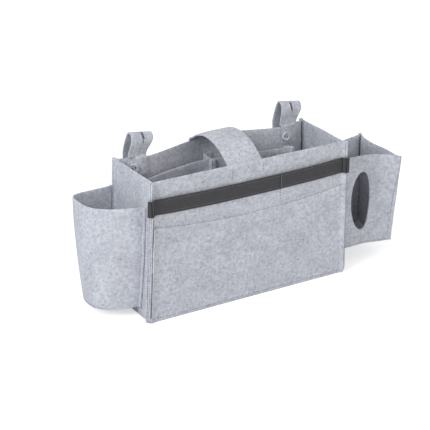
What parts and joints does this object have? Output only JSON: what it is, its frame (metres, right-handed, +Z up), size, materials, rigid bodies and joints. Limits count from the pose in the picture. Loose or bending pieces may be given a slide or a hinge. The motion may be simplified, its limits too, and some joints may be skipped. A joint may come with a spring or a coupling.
{
  "type": "bedside caddy",
  "caption": "Felt bedside caddy with a handle, hanging loops, inner dividers, flat front pockets under a dark band, a bottle pocket and a tissue pocket.",
  "frame": {"origin": "on the floor, below the centre of the box body", "axes": "+X to the right, towards the tissue pocket; +Y from the front to the hanging loops at the back; +Z up"},
  "size_m": [0.4492, 0.1193, 0.2222],
  "materials": {
    "felt": "matte pressed felt, pale blue grey with darker fibres",
    "webbing": "dark woven ribbon",
    "button": "satin grey plastic"
  },
  "bodies": {
    "body": {"front_panel": "felt", "back_panel": "felt", "left_side_panel": "felt", "right_side_panel": "felt", "bottom_panel": "felt", "front_pocket_upper": "felt", "front_pocket_lower": "felt", "bottle_pocket_wrap": "felt", "bottle_pocket_base": "felt", "tissue_pocket_front": "felt", "tissue_pocket_side": "felt", "tissue_pocket_back": "felt", "tissue_pocket_base": "felt", "handle_strap": "felt", "divider_long_left": "felt", "divider_cross_middle": "felt", "divider_long_right": "felt", "divider_cross_right": "felt", "left_hanging_tab": "felt", "left_hanging_tail": "felt", "right_hanging_tab": "felt", "right_hanging_tail": "felt", "front_band": "webbing", "left_button": "button", "right_button": "button"},
    "left_loop": {"left_hanging_loop": "felt"},
    "right_loop": {"right_hanging_loop": "felt"}
  },
  "joints": [
    {"name": "left_loop_lean", "type": "hinge", "parent": "body", "child": "left_loop", "pos_m": [-0.111, 0.0526, 0.19], "axis": [-1, 0, 0], "range_deg": [0, 25], "stiffness_Nm_per_rad": 0.03},
    {"name": "right_loop_lean", "type": "hinge", "parent": "body", "child": "right_loop", "pos_m": [0.1125, 0.0526, 0.19], "axis": [-1, 0, 0], "range_deg": [0, 25], "stiffness_Nm_per_rad": 0.03}
  ]
}
